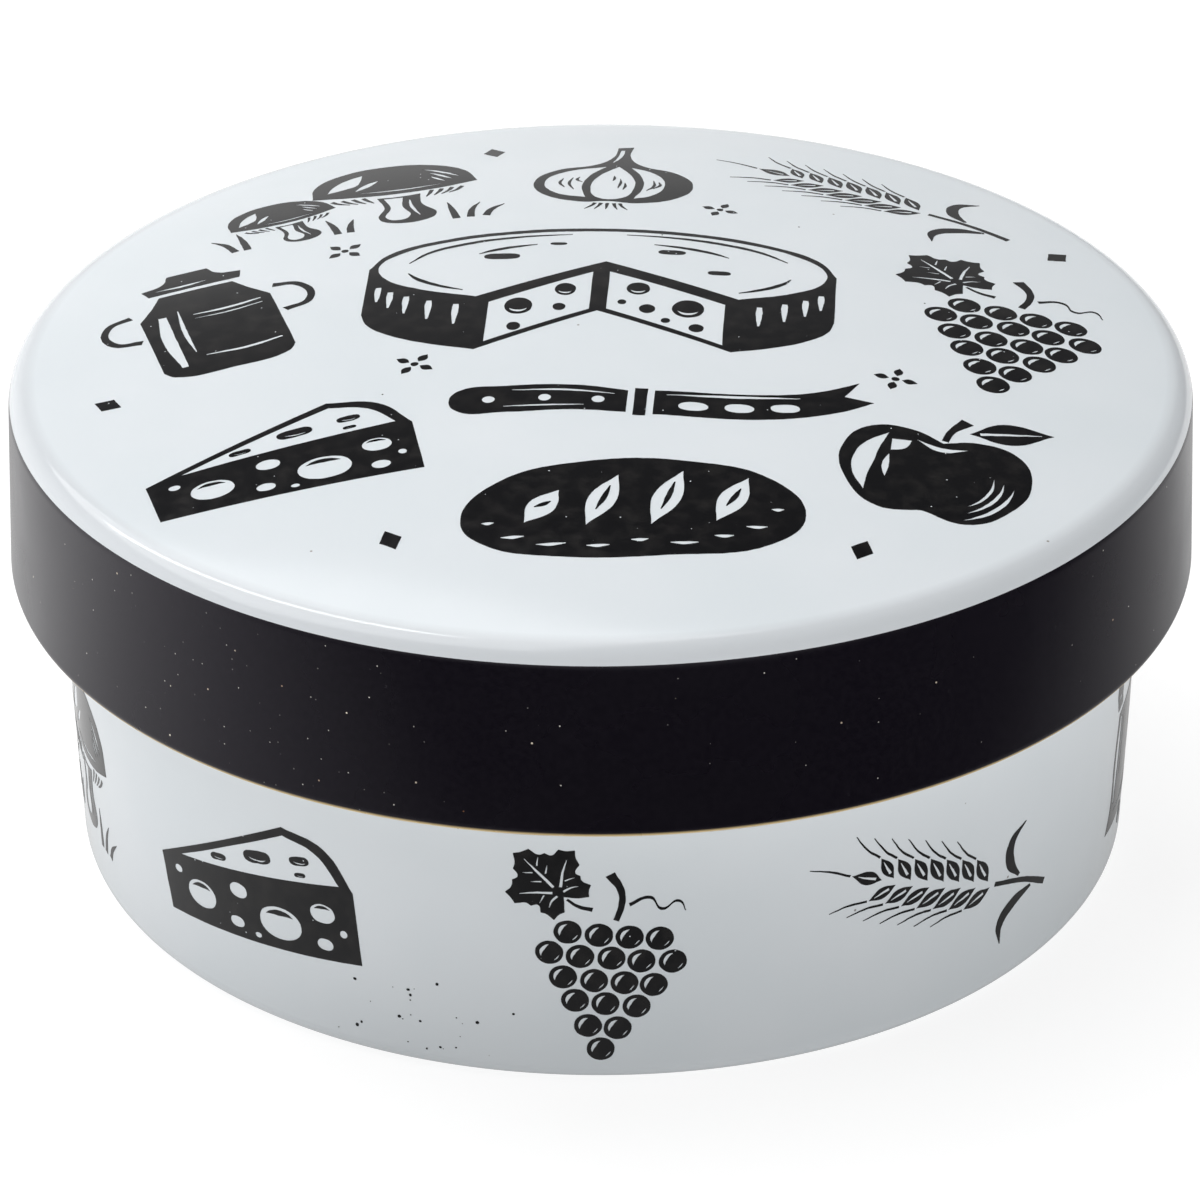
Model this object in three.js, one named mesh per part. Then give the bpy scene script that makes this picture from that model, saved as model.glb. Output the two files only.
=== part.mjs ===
// A round porcelain baker for one soft cheese: a plain dish on a shallow foot ring, and a deep
// cap lid with a domed top whose skirt hangs over the upper third of the dish.
// +Z is up, the origin is under the middle of the foot ring, and sizes are in millimetres.
import * as THREE from "three";

// Dish
const DISH_HEIGHT = 56.2; // table to the top of the rim
const DISH_RIM_RADIUS = 65.1; // outside of the wall, carried up to the rim's height
const DISH_DRAFT_DEG = 2.7; // the wall leans out by this much
const DISH_WALL = 4;
const DISH_FLOOR = 4.5; // thickness over the recess
const DISH_CORNER_RADIUS = 3; // outside, where the wall meets the foot
const DISH_FILLET_RADIUS = 8; // inside, where the wall meets the floor
const FOOT_WIDTH = 4.5; // flat, unglazed ring that stands on the table
const FOOT_RECESS = 1.5; // the floor's underside is this far off the table

// Lid
const LID_CLEARANCE = 0.9; // between the rim and the skirt, all round
const LID_SEAT_GAP = 0.3; // between the rim and the ceiling that rests on it
const LID_WALL = 3.5;
const LID_TOP = 4.5; // thickness of the dome
const DOME_RADIUS = 320; // sphere that the top is part of
const SHOULDER_RADIUS = 3; // rounding between the dome and the skirt
const SKIRT_OVERLAP = 19.8; // how far the skirt hangs below the rim
const SKIRT_DRAFT_DEG = 1.5; // the skirt opens downwards by this much
const SKIRT_EDGE_RADIUS = 1.5; // both corners of the skirt's lower edge
const BAND_LAP = 0.8; // the black band laps this far up the shoulder

// Fineness
const TURN_SEGMENTS = 72; // facets round the axis
const ARC_STEPS = 3; // half the facets along each arc of a profile

const GLAZE_COLOUR = new THREE.Color(0xe3e7eb);
const BAND_COLOUR = new THREE.Color(0x17171a);

const QUARTER_TURN = Math.PI / 2;
const HALF_TURN = Math.PI;
const EDGE_SHARE = 0.45; // each corner of the skirt's lower edge takes at most this much of the wall

// Profiles are drawn as radius against height, and turned round the axis.
function revolve(profile) {
  return new THREE.LatheGeometry(profile, TURN_SEGMENTS).rotateX(QUARTER_TURN);
}

// The dish: the outside of the wall is a slanted line, and the inside is parallel to it.
const dishDraft = THREE.MathUtils.degToRad(DISH_DRAFT_DEG);
const rimRounding = DISH_WALL / 2; // the rim is a full half-round
const rimCentreDepth = rimRounding; // below the top of the rim

// Outside radius of the wall at a depth below the top of the rim.
function dishRadius(depth) {
  return DISH_RIM_RADIUS - depth * Math.tan(dishDraft);
}

// Radius of a line parallel to the wall and this far inside it.
function insideDish(depth, distance) {
  return dishRadius(depth) - distance / Math.cos(dishDraft);
}

const rimCentreRadius = insideDish(rimCentreDepth, rimRounding);

function dishProfile() {
  const floorTop = FOOT_RECESS + DISH_FLOOR;
  const rimHeight = DISH_HEIGHT - rimCentreDepth;
  const cornerHeight = DISH_CORNER_RADIUS;
  const cornerRadius = insideDish(DISH_HEIGHT - cornerHeight, DISH_CORNER_RADIUS);
  const filletHeight = floorTop + DISH_FILLET_RADIUS;
  const filletRadius = insideDish(DISH_HEIGHT - filletHeight, DISH_WALL + DISH_FILLET_RADIUS);
  const footInside = cornerRadius - FOOT_WIDTH;

  const path = new THREE.Path();
  path.moveTo(0, FOOT_RECESS);
  path.lineTo(footInside - FOOT_RECESS, FOOT_RECESS);
  path.lineTo(footInside, 0);
  path.absarc(cornerRadius, cornerHeight, DISH_CORNER_RADIUS, -QUARTER_TURN, -dishDraft, false);
  path.absarc(rimCentreRadius, rimHeight, rimRounding, -dishDraft, HALF_TURN - dishDraft, false);
  path.absarc(filletRadius, filletHeight, DISH_FILLET_RADIUS, -dishDraft, -QUARTER_TURN, true);
  path.lineTo(0, floorTop);
  return path.getPoints(ARC_STEPS);
}

// The lid, drawn from the plane of its skirt's lower edge: the dish's rim reaches this height in it.
const skirtDraft = THREE.MathUtils.degToRad(SKIRT_DRAFT_DEG);
const rimInLid = SKIRT_OVERLAP;

// Radius of a line parallel to the skirt's inner wall and this far outside it.
function skirtRadius(height, distance) {
  const opening = (rimInLid - height) * Math.tan(skirtDraft);
  return DISH_RIM_RADIUS + LID_CLEARANCE + opening + distance / Math.cos(skirtDraft);
}

// The dome and the ceiling are spheres about one centre on the axis. The ceiling clears the round
// rim by the seat gap, measured on the line from that centre through the rim.
const ceilingRadius = DOME_RADIUS - LID_TOP;
const rimReach = ceilingRadius - LID_SEAT_GAP - rimRounding;
const domeCentre = rimInLid - rimCentreDepth - Math.sqrt(rimReach ** 2 - rimCentreRadius ** 2);

// Centre of a rounding that touches a sphere and a line parallel to the skirt, both from inside.
function roundingCentre(sphereRadius, lineDistance, rounding) {
  const slope = Math.tan(skirtDraft);
  const atEdge = skirtRadius(0, lineDistance - rounding);
  const reach = sphereRadius - rounding;
  const a = 1 + slope ** 2;
  const b = atEdge * slope + domeCentre;
  const c = atEdge ** 2 + domeCentre ** 2 - reach ** 2;
  const height = (b + Math.sqrt(b ** 2 - a * c)) / a;
  return new THREE.Vector2(atEdge - height * slope, height);
}

// Angle at which the line from the dome's centre passes through a rounding's centre.
function angleFromDome(centre) {
  return Math.atan2(centre.y - domeCentre, centre.x);
}

// From the crown's underside out along the ceiling, and down inside the skirt to its lower edge.
// The inner corner has the rim's own rounding, so the two stay apart by the clearance.
function lidUnderside(edgeRounding) {
  const corner = roundingCentre(ceilingRadius, 0, rimRounding);
  const cornerAngle = angleFromDome(corner);
  const edge = new THREE.Vector2(skirtRadius(edgeRounding, edgeRounding), edgeRounding);
  const path = new THREE.Path();
  path.absarc(0, domeCentre, ceilingRadius, QUARTER_TURN, cornerAngle, true);
  path.absarc(corner.x, corner.y, rimRounding, cornerAngle, skirtDraft, true);
  path.absarc(edge.x, edge.y, edgeRounding, HALF_TURN + skirtDraft, HALF_TURN + QUARTER_TURN, false);
  return path.getPoints(ARC_STEPS);
}

// Up the outside of the skirt, from its lower edge to where the band ends on the shoulder.
function lidBand(edgeRounding, shoulder, bandAngle) {
  const edgeDistance = LID_WALL - edgeRounding;
  const edge = new THREE.Vector2(skirtRadius(edgeRounding, edgeDistance), edgeRounding);
  const path = new THREE.Path();
  path.absarc(edge.x, edge.y, edgeRounding, -QUARTER_TURN, skirtDraft, false);
  path.absarc(shoulder.x, shoulder.y, SHOULDER_RADIUS, skirtDraft, bandAngle, false);
  return path.getPoints(ARC_STEPS);
}

// Over the rest of the shoulder and up the dome to the crown.
function lidTop(shoulder, bandAngle) {
  const shoulderAngle = angleFromDome(shoulder);
  const path = new THREE.Path();
  path.absarc(shoulder.x, shoulder.y, SHOULDER_RADIUS, bandAngle, shoulderAngle, false);
  path.absarc(0, domeCentre, DOME_RADIUS, shoulderAngle, QUARTER_TURN, false);
  return path.getPoints(ARC_STEPS).slice(1);
}

// Colours each facet by where it lies along the profile: the band's facets lie between two points.
function paintBand(geometry, firstPoint, lastPoint, lastOfProfile) {
  const painted = geometry.toNonIndexed();
  const along = painted.getAttribute("uv");
  const colours = [];
  for (let corner = 0; corner < along.count; corner += 3) {
    const places = [0, 1, 2].map((k) => Math.round(along.getY(corner + k) * lastOfProfile));
    const inBand = places.every((place) => place >= firstPoint && place <= lastPoint);
    const colour = inBand ? BAND_COLOUR : GLAZE_COLOUR;
    places.forEach(() => colours.push(colour.r, colour.g, colour.b));
  }
  return painted.setAttribute("color", new THREE.Float32BufferAttribute(colours, 3));
}

function lidGeometry() {
  const edgeRounding = Math.min(SKIRT_EDGE_RADIUS, EDGE_SHARE * LID_WALL);
  const shoulder = roundingCentre(DOME_RADIUS, LID_WALL, SHOULDER_RADIUS);
  const bandAngle = Math.asin(BAND_LAP / SHOULDER_RADIUS) + skirtDraft;
  const underside = lidUnderside(edgeRounding);
  const band = lidBand(edgeRounding, shoulder, bandAngle);
  const top = lidTop(shoulder, bandAngle);
  const profile = [...underside, ...band, ...top];
  const bandStart = underside.length;
  const bandEnd = bandStart + band.length - 1;
  return paintBand(revolve(profile), bandStart, bandEnd, profile.length - 1);
}

const dish = new THREE.Mesh(
  revolve(dishProfile()),
  new THREE.MeshStandardMaterial({ color: GLAZE_COLOUR, roughness: 0.12, metalness: 0 }),
);
dish.name = "dish";

const lid = new THREE.Mesh(
  lidGeometry(),
  new THREE.MeshStandardMaterial({ vertexColors: true, roughness: 0.2, metalness: 0 }),
);
lid.name = "lid";
lid.position.z = DISH_HEIGHT - SKIRT_OVERLAP;

const baker = new THREE.Group();
baker.add(dish, lid);

export default baker;
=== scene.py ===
import math
import random
import bmesh
import bpy
from mathutils import Euler, Matrix, Vector, noise


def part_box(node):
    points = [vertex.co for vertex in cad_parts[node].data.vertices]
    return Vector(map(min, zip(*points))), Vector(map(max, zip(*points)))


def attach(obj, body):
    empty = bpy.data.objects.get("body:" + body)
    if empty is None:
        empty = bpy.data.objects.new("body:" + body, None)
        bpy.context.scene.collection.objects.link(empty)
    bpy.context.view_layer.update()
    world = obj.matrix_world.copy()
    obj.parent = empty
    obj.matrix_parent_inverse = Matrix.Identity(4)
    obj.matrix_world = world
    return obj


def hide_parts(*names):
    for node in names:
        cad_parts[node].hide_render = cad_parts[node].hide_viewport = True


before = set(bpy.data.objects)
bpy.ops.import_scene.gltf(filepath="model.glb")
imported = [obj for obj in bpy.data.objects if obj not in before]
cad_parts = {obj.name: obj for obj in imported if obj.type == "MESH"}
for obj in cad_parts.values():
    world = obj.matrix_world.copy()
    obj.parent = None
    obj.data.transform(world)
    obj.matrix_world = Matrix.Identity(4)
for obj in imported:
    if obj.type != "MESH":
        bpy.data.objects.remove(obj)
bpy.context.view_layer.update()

# Camera. A long lens a little under a metre away, looking down on the front of the baker.
# Sizes in this file are metres, and MM turns a maker's millimetres into them.
MM = 0.001
CAMERA_DISTANCE = 864.5 * MM
CAMERA_RISE = math.radians(28.486)
CAMERA_ROLL = math.radians(-0.237)
CAMERA_AIM = Vector((-0.18 * MM, 0.0, 28.84 * MM))
LENS_LENGTH = 217.1
SENSOR_WIDTH = 36.0

camera_data = bpy.data.cameras.new("camera")
camera_data.lens = LENS_LENGTH
camera_data.sensor_width = SENSOR_WIDTH
camera_data.clip_start = 0.01
camera_data.clip_end = 50.0
camera = bpy.data.objects.new("camera", camera_data)
bpy.context.scene.collection.objects.link(camera)
towards_lens = Vector((0.0, -math.cos(CAMERA_RISE), math.sin(CAMERA_RISE)))
camera.location = CAMERA_AIM + towards_lens * CAMERA_DISTANCE
tilt = Euler((math.pi / 2 - CAMERA_RISE, 0.0, 0.0)).to_matrix()
roll = Euler((0.0, 0.0, CAMERA_ROLL)).to_matrix()
camera.rotation_euler = (tilt @ roll).to_euler()
bpy.context.scene.camera = camera

# Dish. One cast porcelain body: a wall that leans out a little, a half-round rim, a wide fillet
# inside and a foot ring round a shallow recess, dipped in clear gloss glaze all over but the foot.
DISH_RIM_RADIUS = 65.1 * MM
DISH_DRAFT = math.radians(2.7)
DISH_WALL = 4.0 * MM
DISH_FLOOR = 4.5 * MM
DISH_CORNER = 3.0 * MM
DISH_FILLET = 8.0 * MM
FOOT_WIDTH = 4.5 * MM
FOOT_RECESS = 1.5 * MM
FOOT_SHEEN = 0.1 * MM
DISH_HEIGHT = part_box("dish")[1][2]
RIM_ROUNDING = DISH_WALL / 2
TURN_STEPS = 256
QUARTER = math.pi / 2
WELD = 0.001 * MM
FACING_DOWN = -0.99

GLAZE_TONE = (0.795, 0.834, 0.865, 1.0)
GLAZE_POOLED = (0.761, 0.809, 0.840, 1.0)
# The next colour is painted shade: a greyer glaze on the lid's shoulder in place of its shade and dark
# reflection.
GLAZE_PAINTED_SHADE = (0.665, 0.695, 0.723, 1.0)
GLAZE_SPECK = (0.30, 0.29, 0.27, 1.0)
GLAZE_SMOOTH = 0.075
GLAZE_ROUGH = 0.135
GLAZE_RIPPLE = 0.022 * MM
FINE_SHARE = 0.12
SPECK_CORE = 0.6
# The painted shade on the shoulder starts at the first radius and is full at the second.
SHOULDER_SHADE_START = 66.2 * MM
SHOULDER_SHADE_END = 67.7 * MM
BODY_TONE = (0.74, 0.71, 0.64, 1.0)
BODY_STAIN = (0.58, 0.53, 0.45, 1.0)
BODY_SPECK = (0.16, 0.12, 0.09, 1.0)
BODY_GRAIN = 0.02 * MM


def start_section(radius, height):
    """A new half-section in the XZ plane, with its first point."""
    section = bmesh.new()
    return section, section.verts.new((radius, 0.0, height))


def line_to(section, last, radius, height):
    """Draws a straight line on from the last point."""
    end = bmesh.ops.extrude_vert_indiv(section, verts=[last])["verts"][0]
    end.co = (radius, 0.0, height)
    return end


def arc_about(section, last, centre, turn, steps):
    """Draws an arc on from the last point: a positive turn runs from outwards to upwards."""
    middle = (centre[0], 0.0, centre[1])
    axis = (0.0, -1.0, 0.0)
    spun = bmesh.ops.spin(section, geom=[last], cent=middle, axis=axis, angle=turn, steps=steps)
    return next(part for part in spun["geom_last"] if isinstance(part, bmesh.types.BMVert))


def on_arc(centre, radius, angle):
    """The point of a circle in the section at this angle above outwards."""
    return centre[0] + radius * math.cos(angle), centre[1] + radius * math.sin(angle)


def stand(shape, name, materials):
    """Makes a piece of a finished mesh and puts it in the scene."""
    mesh = bpy.data.meshes.new(name)
    shape.to_mesh(mesh)
    shape.free()
    for material in materials:
        mesh.materials.append(material)
    piece = bpy.data.objects.new(name, mesh)
    bpy.context.scene.collection.objects.link(piece)
    return piece


def throw(section, name, materials, finish_of):
    """Turns a half-section round the axis, as on a wheel, and gives each face its finish."""
    parts = section.verts[:] + section.edges[:]
    axis = (0.0, 0.0, 1.0)
    bmesh.ops.spin(section, geom=parts, axis=axis, angle=2 * math.pi, steps=TURN_STEPS, use_merge=True)
    bmesh.ops.remove_doubles(section, verts=section.verts[:], dist=WELD)
    bmesh.ops.recalc_face_normals(section, faces=section.faces[:])
    for face in section.faces:
        face.smooth = True
        middle = face.calc_center_median()
        face.material_index = finish_of(math.hypot(middle.x, middle.y), middle.z, face.normal)
    return stand(section, name, materials)


def inside_dish(height, distance):
    """Radius of a line parallel to the dish's outside and this far inside it."""
    at_height = DISH_RIM_RADIUS - (DISH_HEIGHT - height) * math.tan(DISH_DRAFT)
    return at_height - distance / math.cos(DISH_DRAFT)


def feed(tree, node, sockets):
    """Gives each named input of a node its value, or the output that feeds it."""
    for socket, value in sockets.items():
        if isinstance(value, bpy.types.NodeSocket):
            tree.links.new(value, node.inputs[socket])
        else:
            node.inputs[socket].default_value = value


def add_node(tree, kind, sockets, **options):
    """A new shader node with its options and inputs set."""
    node = tree.nodes.new("ShaderNode" + kind)
    for option, value in options.items():
        setattr(node, option, value)
    feed(tree, node, sockets)
    return node


def blend(tree, mask, first, second):
    """A mix of two colours by a mask."""
    mix = add_node(tree, "Mix", {0: mask, 6: first, 7: second}, data_type="RGBA")
    return mix.outputs[2]


def spread(tree, value, low, high, start=0.0, end=1.0):
    """A value between start and end stretched to run from low to high."""
    limits = {"Value": value, "From Min": start, "From Max": end, "To Min": low, "To Max": high}
    return add_node(tree, "MapRange", limits).outputs["Result"]


def start_group(name, inputs, outputs):
    """A shader group with named number sockets: its tree, what it is given and what it gives."""
    tree = bpy.data.node_groups.new(name, "ShaderNodeTree")
    for socket in inputs:
        tree.interface.new_socket(socket, in_out="INPUT", socket_type="NodeSocketFloat")
    for socket in outputs:
        tree.interface.new_socket(socket, in_out="OUTPUT", socket_type="NodeSocketFloat")
    return tree, tree.nodes.new("NodeGroupInput").outputs, tree.nodes.new("NodeGroupOutput")


def start_material(name):
    """A new material: itself, its tree and its shader."""
    material = bpy.data.materials.new(name)
    material.use_nodes = True
    return material, material.node_tree, material.node_tree.nodes["Principled BSDF"]


# Slow waves and a fine ripple, as melted glaze sets with, and cloudy thick and thin places.
ripple, given, gives = start_group("glaze_ripple", ("Waves", "Ripple"), ("Cloud", "Height"))
place = add_node(ripple, "TexCoord", {}).outputs["Object"]
waves = add_node(ripple, "TexNoise", {"Vector": place, "Scale": given["Waves"], "Detail": 2.0})
fine = add_node(ripple, "TexNoise", {"Vector": place, "Scale": given["Ripple"], "Detail": 1.0})
layers = {0: fine.outputs["Fac"], 1: FINE_SHARE, 2: waves.outputs["Fac"]}
height = add_node(ripple, "Math", layers, operation="MULTIPLY_ADD")
cloud = spread(ripple, waves.outputs["Fac"], 0.0, 1.0, 0.3, 0.7)
feed(ripple, gives, {"Cloud": cloud, "Height": height.outputs["Value"]})

# Stray dots: each cell of the pattern holds one, only some of the cells show theirs, and each has a
# lot of its own to tell it from the others.
specks, given, gives = start_group("kiln_specks", ("Cells", "Share", "Size"), ("Mask", "Lot"))
place = add_node(specks, "TexCoord", {}).outputs["Object"]
cells = add_node(specks, "TexVoronoi", {"Vector": place, "Scale": given["Cells"]})
lot = add_node(specks, "SeparateColor", {"Color": cells.outputs["Color"]})
drawn = add_node(specks, "Math", {0: lot.outputs["Red"], 1: given["Share"]}, operation="LESS_THAN")
core = add_node(specks, "Math", {0: given["Size"], 1: SPECK_CORE}, operation="MULTIPLY")
dot = spread(specks, cells.outputs["Distance"], 0.0, 1.0, given["Size"], core.outputs["Value"])
mask = add_node(specks, "Math", {0: drawn.outputs["Value"], 1: dot}, operation="MULTIPLY")
feed(specks, gives, {"Mask": mask.outputs["Value"], "Lot": lot.outputs["Green"]})

glaze, tree, shader = start_material("white_glaze")
melt = add_node(tree, "Group", {"Waves": 55.0, "Ripple": 620.0}, node_tree=ripple).outputs
iron = add_node(tree, "Group", {"Cells": 130.0, "Share": 0.9, "Size": 0.026}, node_tree=specks).outputs
tone = blend(tree, melt["Cloud"], GLAZE_TONE, GLAZE_POOLED)
swell = add_node(tree, "Bump", {"Height": melt["Height"], "Distance": GLAZE_RIPPLE})

# Painted shade: the glaze is coloured greyer over the shoulder of the lid, which reaches out further than the
# dish, in place of the shade and dark reflection there.
place = add_node(tree, "TexCoord", {}).outputs["Object"]
level = add_node(tree, "VectorMath", {0: place, 1: (1.0, 1.0, 0.0)}, operation="MULTIPLY").outputs["Vector"]
radius = add_node(tree, "VectorMath", {0: level}, operation="LENGTH").outputs["Value"]
tone = blend(tree, spread(tree, radius, 0.0, 1.0, SHOULDER_SHADE_START, SHOULDER_SHADE_END), tone, GLAZE_PAINTED_SHADE)
feed(tree, shader, {
    "Base Color": blend(tree, iron["Mask"], tone, GLAZE_SPECK),
    "Roughness": spread(tree, melt["Cloud"], GLAZE_SMOOTH, GLAZE_ROUGH),
    "Normal": swell.outputs["Normal"],
})

bare, tree, shader = start_material("bare_porcelain")
place = add_node(tree, "TexCoord", {}).outputs["Object"]
stain = add_node(tree, "TexNoise", {"Vector": place, "Scale": 160.0, "Detail": 4.0}).outputs["Fac"]
grain = add_node(tree, "TexNoise", {"Vector": place, "Scale": 4200.0, "Detail": 3.0}).outputs["Fac"]
iron = add_node(tree, "Group", {"Cells": 420.0, "Share": 0.8, "Size": 0.06}, node_tree=specks).outputs
tone = blend(tree, spread(tree, stain, 0.0, 1.0, 0.42, 0.7), BODY_TONE, BODY_STAIN)
tooth = add_node(tree, "Bump", {"Height": grain, "Distance": BODY_GRAIN})
feed(tree, shader, {
    "Base Color": blend(tree, iron["Mask"], tone, BODY_SPECK),
    "Roughness": spread(tree, grain, 0.6, 0.82),
    "Normal": tooth.outputs["Normal"],
})

floor_top = FOOT_RECESS + DISH_FLOOR
corner = inside_dish(DISH_CORNER, DISH_CORNER), DISH_CORNER
rim = inside_dish(DISH_HEIGHT - RIM_ROUNDING, RIM_ROUNDING), DISH_HEIGHT - RIM_ROUNDING
fillet_height = floor_top + DISH_FILLET
fillet = inside_dish(fillet_height, DISH_WALL + DISH_FILLET), fillet_height
foot_inside = corner[0] - FOOT_WIDTH

section, point = start_section(0.0, FOOT_RECESS)
point = line_to(section, point, foot_inside - FOOT_RECESS, FOOT_RECESS)
point = line_to(section, point, foot_inside, 0.0)
point = line_to(section, point, corner[0], 0.0)
point = arc_about(section, point, corner, QUARTER - DISH_DRAFT, 10)
point = line_to(section, point, *on_arc(rim, RIM_ROUNDING, -DISH_DRAFT))
point = arc_about(section, point, rim, math.pi, 20)
point = line_to(section, point, *on_arc(fillet, DISH_FILLET, -DISH_DRAFT))
point = arc_about(section, point, fillet, DISH_DRAFT - QUARTER, 14)
point = line_to(section, point, 0.0, floor_top)


def dish_finish(radius, height, normal):
    """0 is glaze and 1 the bare foot ring."""
    return int(normal.z < FACING_DOWN and height < FOOT_SHEEN)


dish = throw(section, "glazed_dish", [glaze, bare], dish_finish)
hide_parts("dish")
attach(dish, "dish")

# Dish print. Nine small woodcuts of a farmhouse larder in glossy black, each a ceramic transfer
# that is slid onto the wall by hand and fired into the glaze, with a few stray spots of colour.
# A drawing is a list of outlines in millimetres: (x, y) is a point of a curve, (x, y, 1) a corner.
INK_TONE = (0.009, 0.009, 0.010, 1.0)
INK_THIN = (0.019, 0.018, 0.018, 1.0)
INK_SMOOTH = 0.08
INK_ROUGH = 0.15
INK_PROUD = 0.03
INK_SUNK = 0.04
CURVE_STEPS = 8
EDGE_STEP = 0.9
EDGE_HALVINGS = 2
SHORTEST_EDGE = 0.01
CUT_SNAP = 0.001
EDGE_WOBBLE = 0.05
EDGE_GRAIN = 1.3
WOBBLE_SEED = 5
ACROSS = Vector((1.0, 0.0, 0.0))
ALONG = Vector((0.0, 1.0, 0.0))
FACING_UP = 0.5
NO_NORMAL = Vector()
PRINT_RADIUS = inside_dish(18.0 * MM, 0.0)
DISH_CELL = 2.6
PRINT_END = math.radians(250.0)
STRAY_SPOTS = 26
SPOT_SMALL = 0.12
SPOT_RANGE = 0.34
SPOT_MIDDLE = -24.0
SPOT_SPREAD = 7.0
SPOT_LOW = 2.5
SPOT_HIGH = 13.0

ink, tree, shader = start_material("black_print")
melt = add_node(tree, "Group", {"Waves": 55.0, "Ripple": 620.0}, node_tree=ripple).outputs
pinholes = add_node(tree, "Group", {"Cells": 1000.0, "Share": 0.16, "Size": 0.1}, node_tree=specks).outputs
place = add_node(tree, "TexCoord", {}).outputs["Object"]
patch = add_node(tree, "TexNoise", {"Vector": place, "Scale": 480.0, "Detail": 4.0}).outputs["Fac"]
tone = blend(tree, spread(tree, patch, 0.0, 1.0, 0.45, 0.75), INK_TONE, INK_THIN)
swell = add_node(tree, "Bump", {"Height": melt["Height"], "Distance": GLAZE_RIPPLE})
feed(tree, shader, {
    "Base Color": blend(tree, pinholes["Mask"], tone, GLAZE_POOLED),
    "Roughness": spread(tree, patch, INK_SMOOTH, INK_ROUGH, 0.3, 0.7),
    "Normal": swell.outputs["Normal"],
})


def oval(x, y, across, high, turn=0.0):
    """An ellipse as four round points."""
    c, s = math.cos(math.radians(turn)), math.sin(math.radians(turn))
    reach = ((across / 2, 0.0), (0.0, high / 2), (-across / 2, 0.0), (0.0, -high / 2))
    return [(x + a * c - b * s, y + a * s + b * c) for a, b in reach]


def brush(path, widths):
    """A brush stroke along a path, with a width at each of its points."""
    left, right = [], []
    last = len(path) - 1
    for step, ((x, y), width) in enumerate(zip(path, widths)):
        before, after = path[max(step - 1, 0)], path[min(step + 1, last)]
        way = math.atan2(after[1] - before[1], after[0] - before[0])
        side = (-math.sin(way) * width / 2, math.cos(way) * width / 2)
        end = (1,) if step in (0, last) else ()
        left.append((x + side[0], y + side[1]) + end)
        right.append((x - side[0], y - side[1]) + end)
    return left + right[::-1]


def nick(start, bend, end, width):
    """A cut of light that is thin at both ends."""
    return brush([start, bend, end], [0.12, width, 0.12])


def blade(base, tip, width, bulge=0.45):
    """A leaf or kernel: two pointed ends with round sides, widest at this share of its length."""
    way = math.atan2(tip[1] - base[1], tip[0] - base[0])
    x, y = base[0] + (tip[0] - base[0]) * bulge, base[1] + (tip[1] - base[1]) * bulge
    side = (-math.sin(way) * width / 2, math.cos(way) * width / 2)
    return [(*base, 1), (x + side[0], y + side[1]), (*tip, 1), (x - side[0], y - side[1])]


def vein(base, tip, width, start=0.2, end=0.8):
    """A white vein cut along a leaf or kernel."""
    path = []
    for share in (start, (start + end) / 2, end):
        path.append((base[0] + (tip[0] - base[0]) * share, base[1] + (tip[1] - base[1]) * share))
    return brush(path, [width, width * 0.8, width * 0.25])


def crescent(x, y, radius, start, end, thickness, squeeze=1.0):
    """A sickle of light inside a round shape, between two angles."""
    quarter = (end - start) / 4
    depths = ((0, 0.0), (1, 0.0), (2, 0.0), (3, 0.0), (4, 0.0), (3, 0.75), (2, 1.0), (1, 0.75))
    points = []
    for step, depth in depths:
        angle = math.radians(start + quarter * step)
        reach = radius - thickness * depth
        tip = (1,) if step in (0, 4) else ()
        points.append((x + reach * math.cos(angle), y + squeeze * reach * math.sin(angle)) + tip)
    return points


def placed(loops, x, y, size, turn):
    """A drawing moved, sized and turned."""
    c, s = math.cos(math.radians(turn)) * size, math.sin(math.radians(turn)) * size
    return [[(x + p[0] * c - p[1] * s, y + p[0] * s + p[1] * c) + p[2:] for p in loop] for loop in loops]


def wedge():
    """A wedge of cheese, seen from its cut side."""
    loops = [
        [(-15.5, 1.2, 1), (7.0, 10.4, 1), (12.6, 8.4), (15.6, 3.0, 1), (15.2, -6.8, 1), (-15.0, -6.2, 1)],
        [(-11.4, 2.0, 1), (7.0, 9.3, 1), (11.3, 7.6), (13.9, 3.7, 1)],
    ]
    for x, y, across, high in ((-8.4, -2.4, 5.0, 3.6), (4.4, -3.0, 6.2, 4.4), (10.9, -0.4, 3.4, 2.6)):
        loops.append(oval(x, y, across, high))
        loops.append(crescent(x, y, across * 0.4, 35, 145, across * 0.16, high / across))
    small = ((-1.6, 0.0, 2.8, 2.0), (-2.6, -4.4, 2.2, 1.5), (10.6, -4.6, 2.2, 1.6))
    tiny = ((-12.4, -0.2, 1.4, 1.0), (0.6, -5.4, 1.0, 0.7), (13.4, -2.8, 1.0, 1.0))
    loops += [oval(*hole) for hole in small + tiny]
    rind = ((2.4, 5.4, 4.2, 1.7), (8.8, 6.2, 2.8, 1.2), (-4.2, 3.8, 2.6, 0.9), (8.6, 4.3, 1.6, 0.6))
    for x, y, across, high in rind:
        loops.append(oval(x, y, across, high, 6))
        loops.append(crescent(x, y, across * 0.36, 200, 340, across * 0.13, high / across * 0.9))
    return loops


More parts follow.
